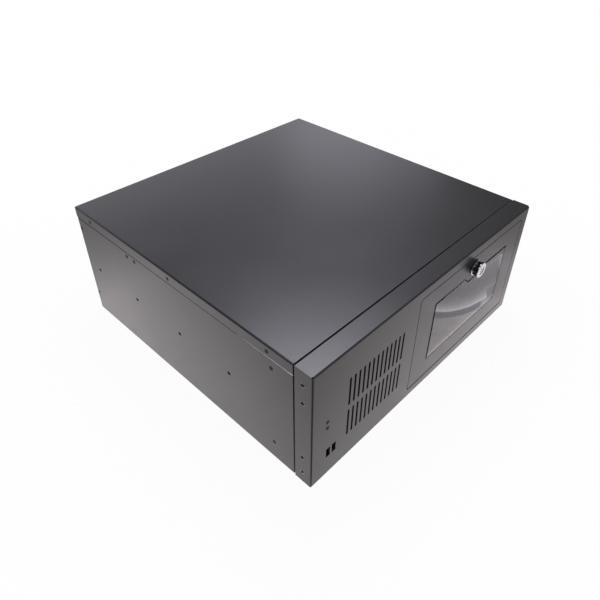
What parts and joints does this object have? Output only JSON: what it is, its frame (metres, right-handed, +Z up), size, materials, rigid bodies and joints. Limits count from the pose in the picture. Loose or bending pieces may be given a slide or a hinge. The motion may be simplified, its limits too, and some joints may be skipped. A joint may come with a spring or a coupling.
{
  "type": "rackmount industrial computer",
  "caption": "Four-unit rackmount industrial computer in a black sheet-steel case, with slotted front vents and a locking drop-down drive door with a smoked window.",
  "frame": {"origin": "middle of the underside", "axes": "+X to the right seen from the front, +Y to the rear, +Z up"},
  "size_m": [0.43, 0.4481, 0.176],
  "materials": {
    "black_coat": "satin black powder coat, fine texture",
    "smoked_pane": "glossy smoked acrylic",
    "chrome": "polished plate",
    "steel": "plated",
    "zinc_sheet": "zinc-coated sheet, satin",
    "black_plastic": "moulded, fine grain",
    "button_cap": "moulded, satin",
    "foam": "open-cell foam",
    "lamp_lens": "dark translucent lens, unlit",
    "board": "lacquered circuit board",
    "drive_case": "bare, fine satin",
    "chip_lid": "nickel plate",
    "brass": "turned"
  },
  "bodies": {
    "chassis": {"base_pan": "black_coat", "bay_cover_1": "black_plastic", "bay_cover_2": "black_plastic", "bay_cover_3": "black_plastic", "board_standoffs": "brass", "card_bar": "zinc_sheet", "cpu_heatsink": "drive_case", "drive_cage": "zinc_sheet", "expansion_sockets": "black_plastic", "filter_foam": "foam", "filter_frame": "black_plastic", "front_bezel": "black_coat", "front_bulkhead": "zinc_sheet", "front_fan_frame": "black_plastic", "hinge_lugs": "black_coat", "io_ports": "steel", "io_shield": "zinc_sheet", "led_lower": "lamp_lens", "led_upper": "lamp_lens", "lock_strike": "black_coat", "memory_modules": "board", "motherboard": "board", "power_switch_body": "black_plastic", "processor": "chip_lid", "psu_case": "zinc_sheet", "psu_fan_frame": "black_plastic", "psu_inlet": "black_plastic", "psu_rear_plate": "zinc_sheet", "psu_switch_frame": "black_plastic", "rear_panel": "black_coat", "reset_switch_body": "black_plastic", "slot_covers": "zinc_sheet", "solid_state_drive": "drive_case", "top_cover": "black_coat", "usb_board": "board", "usb_socket_left": "steel", "usb_socket_right": "steel", "usb_spacers": "brass"},
    "door": {"door_panel": "black_coat", "door_window": "smoked_pane", "hinge_pins": "steel", "lock_body": "chrome", "lock_nut": "steel"},
    "lock": {"lock_plug": "chrome", "lock_cam": "steel", "cam_screw": "steel"},
    "power_key": {"power_button": "button_cap"},
    "reset_key": {"reset_button": "button_cap"},
    "front_fan": {"front_fan_rotor": "black_plastic"},
    "psu_fan": {"psu_fan_rotor": "black_plastic"},
    "psu_rocker": {"psu_switch": "black_plastic"}
  },
  "joints": [
    {"name": "door_hinge", "type": "hinge", "parent": "chassis", "child": "door", "pos_m": [0.0804, -0.215, 0.0186], "axis": [1, 0, 0], "range_deg": [0, 90]},
    {"name": "lock_turn", "type": "hinge", "parent": "door", "child": "lock", "pos_m": [0.0804, -0.2185, 0.1452], "axis": [0, -1, 0], "range_deg": [0, 90]},
    {"name": "power_press", "type": "slide", "parent": "chassis", "child": "power_key", "axis": [0, 1, 0], "range_m": [0, 0.002], "stiffness_N_per_m": 400, "springref_m": -0.003},
    {"name": "reset_press", "type": "slide", "parent": "chassis", "child": "reset_key", "axis": [0, 1, 0], "range_m": [0, 0.002], "stiffness_N_per_m": 400, "springref_m": -0.003},
    {"name": "front_fan_spin", "type": "hinge", "parent": "chassis", "child": "front_fan", "pos_m": [-0.1114, -0.18, 0.086], "axis": [0, 1, 0], "continuous": true},
    {"name": "psu_fan_spin", "type": "hinge", "parent": "chassis", "child": "psu_fan", "pos_m": [0.156, 0.2, 0.106], "axis": [0, 1, 0], "continuous": true},
    {"name": "psu_switch_rock", "type": "hinge", "parent": "chassis", "child": "psu_rocker", "pos_m": [0.136, 0.2114, 0.036], "axis": [1, 0, 0], "range_deg": [-16, 0]}
  ]
}
